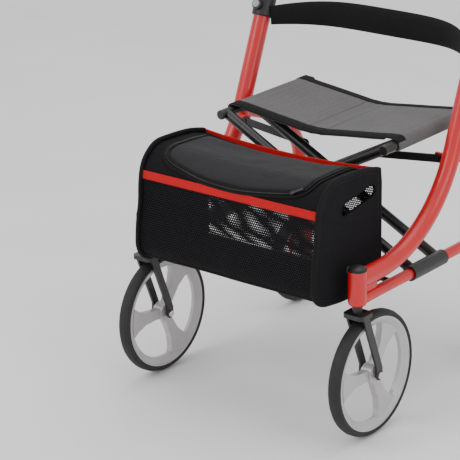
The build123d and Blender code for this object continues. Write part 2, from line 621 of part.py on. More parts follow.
# ---------------------------------------------------------------------------
# bag
# ---------------------------------------------------------------------------
PANEL = [
    (93, 509), (42, 520), (-21, 524), (-62, 522), (-90, 505), (-106, 482), (-113, 450), (-116, 410),
    (-123, 375), (-126.8, 340), (-126, 318), (-116, 298), (-97, 285), (-69, 279), (-13, 274), (96, 277),
]
pan_pts = [(YF + a, b) for a, b in PANEL]
panel = plate(pan_pts, (BAG_X - 3.0, BAG_X + 3.0))
slot_c = (YF + 20.0, 463.0)
slot_plane = Plane(origin=(BAG_X - 10, 0, 0), x_dir=(0, 1, 0), z_dir=(1, 0, 0))
slot = extrude(slot_plane * (Pos(*slot_c) * Rot(0, 0, 9) * SlotOverall(112, 26)), amount=20)
panel = panel - slot
stud_1 = rod((BAG_X + 2.5, YF - 14, UPPER_Z), (FRAME_X - MAIN_R - 0.2, YF - 14, UPPER_Z), 5.0)
stud_2 = rod((BAG_X + 2.5, YF + 78, RAIL_Z), (FRAME_X - RAIL_R - 0.2, YF + 78, RAIL_Z), 5.0)
panel = panel + stud_1 + stud_2
both("bag_panel", panel)

# the sewn sleeve between the two end panels: front, bottom, back and rolled top
WALL = 3.0
inset = [
    (88, 500), (44, 510), (-21, 514), (-58, 512), (-82, 497), (-96, 478), (-103, 450), (-106, 410),
    (-114, 375), (-119, 340), (-118, 322), (-108, 304), (-92, 294), (-66, 289), (-12, 285), (88, 288),
]
outer = plate([(YF + a, b) for a, b in inset], (-BAG_X + 3.6, BAG_X - 3.6))


def shrink(points, t):
    """Move a closed outline's corners inward by t."""
    out = []
    n = len(points)
    area = sum(points[i][0] * points[(i + 1) % n][1] - points[(i + 1) % n][0] * points[i][1] for i in range(n))
    sgn = 1.0 if area > 0 else -1.0
    for i in range(n):
        a, b, c = points[i - 1], points[i], points[(i + 1) % n]
        n1 = Vector(-(b[1] - a[1]), b[0] - a[0]).normalized() * sgn
        n2 = Vector(-(c[1] - b[1]), c[0] - b[0]).normalized() * sgn
        m = (n1 + n2) * (1.0 / (1.0 + n1.dot(n2)))
        out.append((b[0] + m.X * t, b[1] + m.Y * t))
    return out


inner = plate([(YF + a, b) for a, b in shrink(inset, WALL)], (-BAG_X, BAG_X))
bag = outer - inner
# the mouth in the top, closed by the lid
LID_X = 186.0
LID_Y = (YF - 62.0, YF + 82.0)
mouth = box((-LID_X + 6, LID_X - 6), (LID_Y[0] + 8, YF + 64.0), (490, 530))
bag = bag - mouth
bag = max(bag.solids(), key=lambda s: s.volume)
write("bag_body", bag)

# lid: a slightly sprung flap just over the top, hinged along its back edge
LID_Z = 515.2
lid_out = Pos(0, (LID_Y[0] + LID_Y[1]) / 2) * RectangleRounded(2 * LID_X, LID_Y[1] - LID_Y[0], 34)
lid = extrude(Pos(0, 0, LID_Z) * lid_out, amount=2.6)
lid = lid - box((-LID_X - 5, LID_X + 5), (YF + 72.0, LID_Y[1] + 5), (LID_Z - 5, LID_Z + 10))
write("bag_lid", lid)

# zip slider, its pull tab hanging from it
sl_x, sl_y = 128.0, YF - 48.0
slider = box((sl_x - 6, sl_x + 6), (sl_y - 4, sl_y + 4), (LID_Z + 2.7, LID_Z + 6.2))
slider = slider + box((sl_x + 5, sl_x + 24), (sl_y - 2.2, sl_y + 2.2), (LID_Z + 3.6, LID_Z + 5.2))
write("zip_slider", slider)

# ---------------------------------------------------------------------------
# backrest strap between the two uprights
# ---------------------------------------------------------------------------
bz = 690.0
by = on_upright(bz)
back = rod((-FRAME_X + MAIN_R + 6, by - 4, bz), (FRAME_X - MAIN_R - 6, by - 4, bz), 3.0)
strap_plane = Plane(origin=(0, 0, bz - 28), z_dir=(0, 0, 1))
bow = ThreePointArc((-FRAME_X + MAIN_R + 5, by - 20), (0, by + 62), (FRAME_X - MAIN_R - 5, by - 20))
bow_out = ThreePointArc((-FRAME_X + MAIN_R + 5, by - 12), (0, by + 70), (FRAME_X - MAIN_R - 5, by - 12))
outline = Wire([
    bow,
    Line((FRAME_X - MAIN_R - 5, by - 20), (FRAME_X - MAIN_R - 5, by - 12)),
    bow_out,
    Line((-FRAME_X + MAIN_R + 5, by - 20), (-FRAME_X + MAIN_R + 5, by - 12)),
])
strap = extrude(strap_plane * make_face(outline), amount=56)
write("backrest_strap", strap)
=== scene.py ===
import json
import math
import random

import bmesh
import bpy
from mathutils import Matrix, Vector, noise


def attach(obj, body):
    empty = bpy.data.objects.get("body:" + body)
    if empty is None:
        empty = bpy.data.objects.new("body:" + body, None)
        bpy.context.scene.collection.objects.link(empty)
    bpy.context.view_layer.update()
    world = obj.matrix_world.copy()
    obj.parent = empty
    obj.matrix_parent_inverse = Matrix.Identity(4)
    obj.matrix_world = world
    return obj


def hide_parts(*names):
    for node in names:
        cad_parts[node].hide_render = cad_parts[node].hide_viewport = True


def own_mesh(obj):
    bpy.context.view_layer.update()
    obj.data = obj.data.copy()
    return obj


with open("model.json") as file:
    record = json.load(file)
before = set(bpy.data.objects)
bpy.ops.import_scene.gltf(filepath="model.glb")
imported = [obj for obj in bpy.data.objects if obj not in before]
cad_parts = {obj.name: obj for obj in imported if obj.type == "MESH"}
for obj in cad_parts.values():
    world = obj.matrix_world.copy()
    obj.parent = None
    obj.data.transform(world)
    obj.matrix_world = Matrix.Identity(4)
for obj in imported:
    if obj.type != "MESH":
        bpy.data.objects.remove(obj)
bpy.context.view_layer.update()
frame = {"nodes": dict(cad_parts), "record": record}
random.seed(11)

YF = -0.22575
YR = YF + 0.477
FX = 0.262


# --------------------------------------------------------------------------
# materials
# --------------------------------------------------------------------------
def new_mat(name):
    m = bpy.data.materials.new(name)
    m.use_nodes = True
    nt = m.node_tree
    nt.nodes.clear()
    out = nt.nodes.new("ShaderNodeOutputMaterial")
    b = nt.nodes.new("ShaderNodeBsdfPrincipled")
    nt.links.new(b.outputs[0], out.inputs[0])
    return m, nt, b


def coords(nt):
    return nt.nodes.new("ShaderNodeTexCoord").outputs["Object"]


def noise_node(nt, vec, scale, detail=3.0, rough=0.55):
    n = nt.nodes.new("ShaderNodeTexNoise")
    n.inputs["Scale"].default_value = scale
    n.inputs["Detail"].default_value = detail
    n.inputs["Roughness"].default_value = rough
    nt.links.new(vec, n.inputs["Vector"])
    return n.outputs[0]


def ramp(nt, fac, lo, hi, p0=0.3, p1=0.7):
    r = nt.nodes.new("ShaderNodeValToRGB")
    r.color_ramp.elements[0].position = p0
    r.color_ramp.elements[1].position = p1
    r.color_ramp.elements[0].color = (*lo, 1)
    r.color_ramp.elements[1].color = (*hi, 1)
    nt.links.new(fac, r.inputs[0])
    return r.outputs[0]


def map_range(nt, fac, lo, hi):
    r = nt.nodes.new("ShaderNodeMapRange")
    r.inputs["To Min"].default_value = lo
    r.inputs["To Max"].default_value = hi
    nt.links.new(fac, r.inputs["Value"])
    return r.outputs[0]


def bump(nt, b, height, strength, dist):
    n = nt.nodes.new("ShaderNodeBump")
    n.inputs["Strength"].default_value = strength
    n.inputs["Distance"].default_value = dist
    nt.links.new(height, n.inputs["Height"])
    nt.links.new(n.outputs[0], b.inputs["Normal"])
    return n


def math_node(nt, op, a, b=None):
    n = nt.nodes.new("ShaderNodeMath")
    n.operation = op
    for i, v in enumerate((a, b)):
        if v is None:
            continue
        if isinstance(v, (int, float)):
            n.inputs[i].default_value = v
        else:
            nt.links.new(v, n.inputs[i])
    return n.outputs[0]


def paint(name, color, rough=0.3, coat=0.6, metallic=0.0, flake=0.0, peel=0.12):
    """Sprayed paint: faint orange peel, slight tone drift, uneven gloss."""
    m, nt, b = new_mat(name)
    v = coords(nt)
    big = noise_node(nt, v, 14.0, 4)
    lo = tuple(c * 0.93 for c in color)
    hi = tuple(min(1.0, c * 1.05) for c in color)
    nt.links.new(ramp(nt, big, lo, hi), b.inputs["Base Color"])
    nt.links.new(map_range(nt, noise_node(nt, v, 60.0, 5), rough * 0.8, rough * 1.25), b.inputs["Roughness"])
    b.inputs["Metallic"].default_value = metallic
    b.inputs["Coat Weight"].default_value = coat
    b.inputs["Coat Roughness"].default_value = 0.12
    h = noise_node(nt, v, 520.0, 2)
    bump(nt, b, h, peel, 0.0004)
    return m


def metal(name, color, rough=0.25, streak=True):
    m, nt, b = new_mat(name)
    v = coords(nt)
    mp = nt.nodes.new("ShaderNodeMapping")
    mp.inputs["Scale"].default_value = (900.0, 60.0, 60.0) if streak else (200.0, 200.0, 200.0)
    nt.links.new(v, mp.inputs["Vector"])
    n = noise_node(nt, mp.outputs[0], 1.0, 3)
    nt.links.new(ramp(nt, n, tuple(c * 0.85 for c in color), color), b.inputs["Base Color"])
    nt.links.new(map_range(nt, n, rough * 0.7, rough * 1.4), b.inputs["Roughness"])
    b.inputs["Metallic"].default_value = 1.0
    bump(nt, b, n, 0.08, 0.0003)
    return m


def plastic(name, color, rough=0.5, grain=420.0, strength=0.25):
    """Moulded plastic or rubber with a fine stippled grain and light scuffs."""
    m, nt, b = new_mat(name)
    v = coords(nt)
    n = noise_node(nt, v, 22.0, 5)
    nt.links.new(
        ramp(nt, n, tuple(c * 0.8 for c in color), tuple(min(1, c * 1.25) for c in color)), b.inputs["Base Color"]
    )
    nt.links.new(map_range(nt, noise_node(nt, v, 45.0, 4), rough * 0.85, min(1.0, rough * 1.2)), b.inputs["Roughness"])
    vo = nt.nodes.new("ShaderNodeTexVoronoi")
    vo.inputs["Scale"].default_value = grain
    nt.links.new(v, vo.inputs["Vector"])
    bump(nt, b, vo.outputs["Distance"], strength, 0.0004)
    return m


def cloth(name, color, rough=0.85, pitch=0.0016, strength=0.5, sheen=0.25, tone=0.18):
    """Plain-woven cloth: two crossing sets of threads, slubs, a soft sheen."""
    m, nt, b = new_mat(name)
    v = coords(nt)
    k = 2 * math.pi / pitch / (2 * math.pi)
    waves = []
    for direction in ("X", "Y", "Z"):
        w = nt.nodes.new("ShaderNodeTexWave")
        w.wave_type = "BANDS"
        w.bands_direction = direction
        w.wave_profile = "SIN"
        w.inputs["Scale"].default_value = k / 3.2
        w.inputs["Distortion"].default_value = 0.35
        w.inputs["Detail"].default_value = 1.5
        w.inputs["Detail Scale"].default_value = 2.0
        nt.links.new(v, w.inputs["Vector"])
        waves.append(w.outputs["Fac"])
    weave = math_node(nt, "MULTIPLY", math_node(nt, "ADD", waves[0], waves[1]), math_node(nt, "ADD", waves[2], 0.3))
    slub = noise_node(nt, v, 90.0, 4)
    patch = noise_node(nt, v, 9.0, 3)
    mix = math_node(nt, "ADD", math_node(nt, "MULTIPLY", weave, 0.35), math_node(nt, "MULTIPLY", patch, 0.65))
    lo = tuple(c * (1 - tone) for c in color)
    hi = tuple(min(1, c * (1 + tone)) for c in color)
    nt.links.new(ramp(nt, mix, lo, hi, 0.25, 0.85), b.inputs["Base Color"])
    nt.links.new(map_range(nt, slub, rough * 0.9, min(1.0, rough * 1.08)), b.inputs["Roughness"])
    b.inputs["Sheen Weight"].default_value = sheen
    b.inputs["Specular IOR Level"].default_value = 0.22
    b.inputs["Sheen Roughness"].default_value = 0.5
    height = math_node(nt, "ADD", weave, math_node(nt, "MULTIPLY", slub, 0.6))
    bump(nt, b, height, strength, 0.0006)
    return m


RED = (0.56, 0.003, 0.006)
mats = {
    "red_paint": paint("red paint", RED, 0.34, 0.28),
    "black_paint": paint("black paint", (0.005, 0.005, 0.0055), 0.42, 0.2, peel=0.2),
    "wheel_silver": paint("wheel silver", (0.47, 0.455, 0.46), 0.38, 0.3, metallic=0.3, peel=0.08),
    "tyre": plastic("tyre rubber", (0.010, 0.0095, 0.011), 0.66, 260.0, 0.35),
    "steel": metal("plated steel", (0.70, 0.70, 0.71)),
    "black_plastic": plastic("black plastic", (0.008, 0.008, 0.0085), 0.45),
    "grip_rubber": plastic("grip rubber", (0.022, 0.022, 0.023), 0.75, 300.0, 0.6),
    "handle_metal": metal("anodised tube", (0.55, 0.55, 0.57), 0.32),
    "cable_black": plastic("cable cover", (0.015, 0.015, 0.015), 0.35, 700.0, 0.1),
    "bag_fabric": cloth("bag cloth", (0.0045, 0.0043, 0.0058), 0.9, 0.0016, 0.5, 0.0),
    "lid_fabric": cloth("lid cloth", (0.020, 0.0195, 0.0215), 0.9, 0.0018, 0.55, 0.05),
    "seat_fabric": cloth("seat cloth", (0.105, 0.101, 0.103), 0.92, 0.0018, 0.6, 0.12),
    "strap_fabric": cloth("strap cloth", (0.009, 0.009, 0.0095), 0.92, 0.0020, 0.6, 0.0),
    "button_grey": plastic("button grey", (0.30, 0.30, 0.31), 0.3),
}
mesh_mat = cloth("mesh cloth", (0.0035, 0.0035, 0.0048), 0.8, 0.0012, 0.4, 0.0)
binding_mat = cloth("edge binding", (0.004, 0.004, 0.0045), 0.75, 0.0011, 0.5, 0.0)
webbing_mat = cloth("red webbing", (0.52, 0.003, 0.006), 0.8, 0.0022, 0.7, 0.05, 0.1)
zip_mat = plastic("zip coil", (0.010, 0.010, 0.010), 0.35, 900.0, 0.2)
thread_mat = plastic("thread", (0.03, 0.03, 0.032), 0.8, 900.0, 0.3)

slot_of = {s["node"]: s["material_slot"] for s in frame["record"]["subparts"]}
for node, obj in frame["nodes"].items():
    obj.data.materials.clear()
    obj.data.materials.append(mats[slot_of[node]])
    bev = obj.modifiers.new("edge", "BEVEL")
    bev.width = 0.0006
    bev.segments = 2
    bev.limit_method = "ANGLE"
    bev.angle_limit = math.radians(40)
    bev.harden_normals = False


# --------------------------------------------------------------------------
# mesh helpers
# --------------------------------------------------------------------------
def make(name, verts, faces, mat, smooth=True):
    name = name.replace(" ", "_")
    me = bpy.data.meshes.new(name)
    me.from_pydata([tuple(v) for v in verts], [], faces)
    me.validate()
    me.update()
    o = bpy.data.objects.new(name, me)
    bpy.context.scene.collection.objects.link(o)
    me.materials.append(mat)
    for p in me.polygons:
        p.use_smooth = smooth
    return o


def apply_all(o):
    bpy.context.view_layer.objects.active = o
    for s in bpy.context.selected_objects:
        s.select_set(False)
    o.select_set(True)
    for m in list(o.modifiers):
        bpy.ops.object.modifier_apply(modifier=m.name)
    return o


def thicken(o, t, offset=0.0):
    s = o.modifiers.new("thick", "SOLIDIFY")
    s.thickness = t
    s.offset = offset
    return apply_all(o)


def fix_normals(o):
    bm = bmesh.new()
    bm.from_mesh(o.data)
    bmesh.ops.recalc_face_normals(bm, faces=bm.faces)
    bm.to_mesh(o.data)
    bm.free()
    return o


def sweep_line(name, pts, rx, ry, mat, n=10, closed=False, up=None, power=1.0):
    """An oval bead along a polyline. rx across, ry along `up` (a function or a vector)."""
    pts = [Vector(p) for p in pts]
    m = len(pts)
    verts, faces = [], []
    for i, p in enumerate(pts):
        a = pts[(i - 1) % m] if closed or i > 0 else pts[0]
        c = pts[(i + 1) % m] if closed or i < m - 1 else pts[-1]
        t = (c - a).normalized()
        u = up(i) if callable(up) else (up or Vector((0, 0, 1)))
        u = Vector(u)
        side = t.cross(u)
        if side.length < 1e-6:
            side = t.cross(Vector((1, 0, 0)))
        side.normalize()
        w = side.cross(t).normalized()
        for k in range(n):
            ang = 2 * math.pi * k / n
            cx, cy = math.cos(ang), math.sin(ang)
            cx = math.copysign(abs(cx) ** power, cx)
            cy = math.copysign(abs(cy) ** power, cy)
            verts.append(p + side * (rx * cx) + w * (ry * cy))
    rows = m if closed else m - 1
    for i in range(rows):
        for k in range(n):
            a, b = i * n + k, i * n + (k + 1) % n
            c, d = ((i + 1) % m) * n + (k + 1) % n, ((i + 1) % m) * n + k
            faces.append((a, b, c, d))
    if not closed:
        faces.append(tuple(range(n - 1, -1, -1)))
        faces.append(tuple((m - 1) * n + k for k in range(n)))
    return fix_normals(make(name, verts, faces, mat))


def catmull(P, n=10, closed=False):
    P = [Vector((p[0], p[1], 0)) for p in P]
    out = []
    m = len(P)
    rng = range(m) if closed else range(m - 1)
    for i in rng:
        if closed:
            p0, p1, p2, p3 = P[i - 1], P[i], P[(i + 1) % m], P[(i + 2) % m]
        else:
            p1, p2 = P[i], P[i + 1]
            p0 = P[i - 1] if i > 0 else p1 * 2 - p2
            p3 = P[i + 2] if i + 2 < m else p2 * 2 - p1
        for k in range(n):
            t = k / n
            out.append(0.5 * ((p1 * 2) + (p2 - p0) * t + (p0 * 2 - p1 * 5 + p2 * 4 - p3) * t * t + (p1 * 3 - p0 - p2 * 3 + p3) * t**3))
    if not closed:
        out.append(P[-1])
    return [(v.x, v.y) for v in out]


class Path2:
    """A polyline in the YZ plane, read by distance along it."""

    def __init__(self, pts):
        self.p = pts
        self.s = [0.0]
        for a, b in zip(pts, pts[1:]):
            self.s.append(self.s[-1] + math.hypot(b[0] - a[0], b[1] - a[1]))
        self.total = self.s[-1]

    def at(self, s):
        s = min(max(s, 0.0), self.total)
        lo, hi = 0, len(self.s) - 1
        while hi - lo > 1:
            mid = (lo + hi) // 2
            if self.s[mid] <= s:
                lo = mid
            else:
                hi = mid
        k = (s - self.s[lo]) / max(1e-9, self.s[hi] - self.s[lo])
        a, b = self.p[lo], self.p[hi]
        t = Vector((b[0] - a[0], b[1] - a[1])).normalized()
        return (a[0] + (b[0] - a[0]) * k, a[1] + (b[1] - a[1]) * k), t


# --------------------------------------------------------------------------
# bag
# --------------------------------------------------------------------------
PX = 0.215
OUT = [
    (93, 509), (42, 520), (-21, 524), (-62, 522), (-90, 505), (-106, 482), (-113, 450), (-116, 410),
    (-123, 375), (-126.8, 340), (-126, 318), (-116, 298), (-97, 285), (-69, 279), (-13, 274), (96, 277),
]
OUT = [(YF + a / 1000, b / 1000) for a, b in OUT]
front_part = catmull(OUT, 8)
outline = front_part + [(YF + 0.0965, 0.300), (YF + 0.0965, 0.480)]
cx2 = sum(p[0] for p in outline) / len(outline)


def inward(points, t, closed=True):
    """Moves a closed outline inward by t, corner by corner."""
    res = []
    m = len(points)
    area = sum(points[i][0] * points[(i + 1) % m][1] - points[(i + 1) % m][0] * points[i][1] for i in range(m))
    sg = 1 if area > 0 else -1
    for i in range(m):
        a, b, c = points[i - 1], points[i], points[(i + 1) % m]
        n1 = Vector((-(b[1] - a[1]), b[0] - a[0])).normalized() * sg
        n2 = Vector((-(c[1] - b[1]), c[0] - b[0])).normalized() * sg
        mm = (n1 + n2) / max(0.35, 1 + n1.dot(n2))
        res.append((b[0] + mm.x * t, b[1] + mm.y * t))
    return res


SLOT_C = (YF + 0.020, 0.463)
SLOT_A = math.radians(9)


def slot_pts(extra, n=14):
    half, r = (0.112 - 0.026) / 2, 0.013 + extra
    pts = []
    for sgn in (1, -1):
        for k in range(n + 1):
            ang = -math.pi / 2 + math.pi * k / n
            x, y = sgn * (half + r * math.cos(ang)), sgn * r * math.sin(ang)
            pts.append((x, y))
    ca, sa = math.cos(SLOT_A), math.sin(SLOT_A)
    return [(SLOT_C[0] + x * ca - y * sa, SLOT_C[1] + x * sa + y * ca) for x, y in pts]


def panel(side):
    """A stiffened end panel: outline, cut hand slot, softly padded faces."""
    rim_out = outline
    bm = bmesh.new()
    ring = [bm.verts.new((0, y, z)) for y, z in rim_out]
    edges = [bm.edges.new((ring[i], ring[(i + 1) % len(ring)])) for i in range(len(ring))]
    hole = [bm.verts.new((0, y, z)) for y, z in slot_pts(0.0)]
    edges += [bm.edges.new((hole[i], hole[(i + 1) % len(hole)])) for i in range(len(hole))]
    bmesh.ops.triangle_fill(bm, use_beauty=True, use_dissolve=False, edges=edges)
    me = bpy.data.meshes.new("panel")
    bm.to_mesh(me)
    bm.free()
    o = bpy.data.objects.new("bag_end_panel_" + ("left" if side > 0 else "right"), me)
    bpy.context.scene.collection.objects.link(o)
    me.materials.append(mats["bag_fabric"])
    o.location.x = side * PX
    bpy.context.view_layer.update()
    me.transform(o.matrix_world)
    o.matrix_world = Matrix.Identity(4)
    s = o.modifiers.new("thick", "SOLIDIFY")
    s.thickness = 0.0052
    s.offset = 0
    bv = o.modifiers.new("bev", "BEVEL")
    bv.width = 0.0012
    bv.segments = 2
    bv.limit_method = "ANGLE"
    apply_all(o)
    return o


def finish_piece(o, body, node=None, squash=None):
    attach(o, body)
    if node:
        for n in node if isinstance(node, (list, tuple)) else [node]:
            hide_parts(n)
    if squash:
        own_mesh(o)
    return o


# fold data for the cloth between the two panels, toward the left one; finish_piece only uses it to give each piece its
# own mesh copy
FOLD_KEEP = 0.362
to_left = ("fold", (1, 0, 0), (PX - 0.0032, 0, 0.4), FOLD_KEEP)

for side, name in ((1, "left"), (-1, "right")):
    body = "frame_" + name
    p = panel(side)
    finish_piece(p, body, "bag_panel_" + name)
    # bound edge: a flat oval bead folded over the rim
    rim_pts = inward(outline, 0.0035)
    bead = sweep_line(
        "panel edge binding " + name,
        [(side * PX, y, z) for y, z in rim_pts],
        0.0050,
        0.0040,
        binding_mat,
        12,
        True,
        up=Vector((1, 0, 0)),
        power=0.8,
    )
    finish_piece(bead, body)
    slot_bead = sweep_line(
        "hand slot binding " + name,
        [(side * PX, y, z) for y, z in slot_pts(0.0012)],
        0.0018,
        0.0038,
        binding_mat,
        10,
        True,
        up=Vector((1, 0, 0)),
        power=0.8,
    )
    finish_piece(slot_bead, body)
    # row of stitches just inside the binding, as short raised threads
    st = Path2(inward(outline, 0.0105) + [inward(outline, 0.0105)[0]])
    verts, faces = [], []
    s = 0.0
    while s < st.total - 0.003:
        (y0, z0), t = st.at(s)
        (y1, z1), _ = st.at(s + 0.0024)
        for face_side in (1, -1):
            xx = side * PX + face_side * 0.0028
            base = len(verts)
            n2 = Vector((-t.y, t.x)) * 0.00032
            verts += [
                (xx, y0 - n2.x, z0 - n2.y),
                (xx, y0 + n2.x, z0 + n2.y),
                (xx, y1 + n2.x, z1 + n2.y),
                (xx, y1 - n2.x, z1 - n2.y),
                (xx + face_side * 0.0004, (y0 + y1) / 2, (z0 + z1) / 2),
            ]
            faces += [(base, base + 1, base + 4), (base + 1, base + 2, base + 4), (base + 2, base + 3, base + 4), (base + 3, base, base + 4)]
        s += 0.0038
    stitches = fix_normals(make("panel stitches " + name, verts, faces, thread_mat))
    finish_piece(stitches, body)
    # pegs that hold the panel to the side frame
    pegs = []
    for (py, pz, x1) in ((YF - 0.014, 0.333, FX - 0.0182), (YF + 0.078, 0.290, FX - 0.0112)):
        prof = [(0.0025, 0.0085), (0.0045, 0.0085), (0.0060, 0.0050), (x1 - PX - 0.003, 0.0050), (x1 - PX, 0.0062)]
        vs, fs = [], []
        n = 20
        for (dx, r) in prof:
            for k in range(n):
                a = 2 * math.pi * k / n
                vs.append((side * (PX + dx), py + r * math.cos(a), pz + r * math.sin(a)))
        for i in range(len(prof) - 1):
            for k in range(n):
                fs.append((i * n + k, i * n + (k + 1) % n, (i + 1) * n + (k + 1) % n, (i + 1) * n + k))
        fs.append(tuple(range(n)))
        fs.append(tuple((len(prof) - 1) * n + k for k in range(n)))
        pegs.append(fix_normals(make("bag peg", vs, fs, mats["black_plastic"], True)))
    for k, peg in enumerate(pegs):
        peg.name = "bag_peg_%s_%d" % (name, k + 1)
        finish_piece(peg, body)

# the cloth's path in the YZ plane, from the back top edge forward over the
# rolled corner, down the front, and back along the bottom
back_top = (YF + 0.0915, 0.5045)
wall = catmull(inward(OUT, 0.0065)[0:], 8)
wall = [p for p in wall]
wall[0] = back_top
W = Path2(wall)
S_STRIPE_TOP, S_STRIPE_BOT = 0.2275, 0.2410


def find_s(y, z):
    return min((math.hypot(a - y, b - z), s) for (a, b), s in zip(W.p, W.s))[1]


S_MESH_END = find_s(YF - 0.103, 0.296)
S_STRIPE_TOP = find_s(YF - 0.102, 0.4715)
S_STRIPE_BOT = find_s(YF - 0.1045, 0.4580)
S_END = W.total
XW = PX - 0.0032


def wob(x, s, k=1.0):
    """Small creases and slackness of the cloth, metres."""
    n = noise.noise(Vector((x * 9, s * 16, 3.1))) * 0.0022
    n += noise.noise(Vector((x * 30, s * 42, 7.7))) * 0.0007
    edge = 1 - abs(x / XW) ** 8
    return n * k * edge


def top_point(x, s, lift=0.0):
    """A point on the top cloth, sagging between the panels."""
    (y, z), t = W.at(s)
    nrm = Vector((t.y, -t.x))
    if nrm.y < 0 and s < S_STRIPE_TOP * 0.5:
        nrm = -nrm
    # outward normal: away from the bag's middle
    mid = Vector((YF - 0.01, 0.40))
    if nrm.dot(Vector((y, z)) - mid) < 0:
        nrm = -nrm
    u = 1 - (x / XW) ** 2
    back = max(0.0, 1 - s / 0.10)
    fade = min(1.0, max(0.0, (S_STRIPE_TOP - s) / 0.05))
    sag = (0.0115 + 0.004 * back) * u * fade + 0.0085 * max(0.0, 1 - s / 0.05) * min(1.0, 2.5 * u) * fade
    corner_pinch = 0.0025 * (abs(x) / XW) ** 14 * fade
    d = -corner_pinch + wob(x, s, 1.3 * fade + 0.3) + lift
    return Vector((x, y + nrm.x * d, z + nrm.y * d - sag))


def surf_grid(name, fn, us, vs, mat, thick=0.0):
    verts, faces = [], []
    for v in vs:
        for u in us:
            verts.append(fn(u, v))
    n = len(us)
    for j in range(len(vs) - 1):
        for i in range(n - 1):
            faces.append((j * n + i, j * n + i + 1, (j + 1) * n + i + 1, (j + 1) * n + i))
    o = make(name, verts, faces, mat)
    if thick:
        thicken(o, thick, 0)
    return fix_normals(o)


def lin(a, b, n):
    return [a + (b - a) * i / (n - 1) for i in range(n)]


# lid outline on the cloth, as (x, s)
LIDP = [
    (-0.172, 0.0200), (-0.173, 0.080), (-0.175, 0.120), (-0.177, 0.150), (-0.174, 0.168), (-0.162, 0.181),
    (-0.144, 0.189), (-0.127, 0.193), (-0.071, 0.204), (-0.034, 0.2075), (0.009, 0.2085), (0.040, 0.2065),
    (0.069, 0.203), (0.096, 0.199), (0.129, 0.194), (0.156, 0.188), (0.172, 0.177), (0.179, 0.158), (0.180, 0.120),
    (0.178, 0.080), (0.176, 0.0200),
]
lid_line = catmull(LIDP, 8)


def lid_front(x):
    """The lid's front edge s at x, and whether x is inside the lid."""
    best = None
    for (a, b), (c, d) in zip(lid_line, lid_line[1:]):
        lo, hi = min(a, c), max(a, c)
        if lo <= x <= hi and hi > lo:
            s = b + (d - b) * (x - a) / (c - a)
            best = s if best is None else max(best, s)
    return best


S_LID_BACK = 0.0200
# top cloth round the lid, with the lid's mouth left open under it
us = lin(-XW, XW, 87)
vs = lin(0.0, S_STRIPE_TOP + 0.002, 60)
top_verts, top_faces = [], []
for v in vs:
    for u in us:
        top_verts.append(top_point(u, v))
nn = len(us)
for j in range(len(vs) - 1):
    for i in range(nn - 1):
        xm, sm = (us[i] + us[i + 1]) / 2, (vs[j] + vs[j + 1]) / 2
        f = lid_front(xm)
        if f is not None and abs(xm) < 0.160 and S_LID_BACK + 0.012 < sm < f - 0.014:
            continue
        top_faces.append((j * nn + i, j * nn + i + 1, (j + 1) * nn + i + 1, (j + 1) * nn + i))
top = make("bag top cloth", top_verts, top_faces, mats["bag_fabric"])
thicken(top, 0.0014, 0)
fix_normals(top)
finish_piece(top, "frame_left", "bag_body", to_left)

# lid: the same surface, a little proud, filled inside the D-shaped outline
lid_cols = 121
lv, lf = [], []
ls = 46
for i in range(lid_cols):
    x = -0.1765 + (0.1795 + 0.1765) * i / (lid_cols - 1)
    f = lid_front(min(max(x, -0.1764), 0.1794)) or 0.12
    f = max(f, S_LID_BACK + 0.002)
    for j in range(ls):
        k = j / (ls - 1)
        s = S_LID_BACK + (f - S_LID_BACK) * k
        e = min(1.0, min(k * (f - S_LID_BACK), (1 - k) * (f - S_LID_BACK)) / 0.012)
        ex = min(1.0, min(x + 0.1765, 0.1795 - x) / 0.012)
        puff = 0.0026 + 0.0022 * min(e, ex)
        lv.append(top_point(x, s, puff + 0.0011 * noise.noise(Vector((x * 17 + 4, s * 23, 5.5))) * min(e, ex)))
for i in range(lid_cols - 1):
    for j in range(ls - 1):
        lf.append((i * ls + j, i * ls + j + 1, (i + 1) * ls + j + 1, (i + 1) * ls + j))
lid = make("bag lid cloth", lv, lf, mats["lid_fabric"])
thicken(lid, 0.0016, 0)
fix_normals(lid)
finish_piece(lid, "lid", "bag_lid", to_left)


def surf_normal(x, s):
    a = top_point(x, max(0, s - 0.002))
    b = top_point(x, s + 0.002)
    n = Vector((1, 0, 0)).cross(b - a)
    if n.dot(top_point(x, s) - Vector((x, YF, 0.40))) < 0:
        n = -n
    return n.normalized()


# zip: a pair of tapes and a coil along the D, and the teeth
zl = Path2(lid_line)
zs = lin(0, zl.total, 210)
zip_pts = [zl.at(s)[0] for s in zs]
for off, rx, name_z, body_z in ((-0.0055, 0.0034, "zip tape outer", "frame_left"), (0.0045, 0.0034, "zip tape inner", "lid")):
    pts, ups = [], []
    for (x, s), q in zip(zip_pts, zs):
        t = zl.at(q)[1]
        nx, ns = -t.y, t.x
        # inside of the D is toward its middle
        if (0.0 - x) * nx + (0.10 - s) * ns < 0:
            nx, ns = -nx, -ns
        xx, ss = x + nx * off, s + ns * off
        pts.append(top_point(xx, ss, 0.0030 if off < 0 else 0.0062))
        ups.append(surf_normal(xx, ss))
    tape = sweep_line(name_z, pts, rx, 0.0008, binding_mat, 8, False, up=lambda i, ups=ups: ups[i])
    finish_piece(tape, body_z, squash=to_left)
teeth_v, teeth_f = [], []
q = 0.0
flip = 1
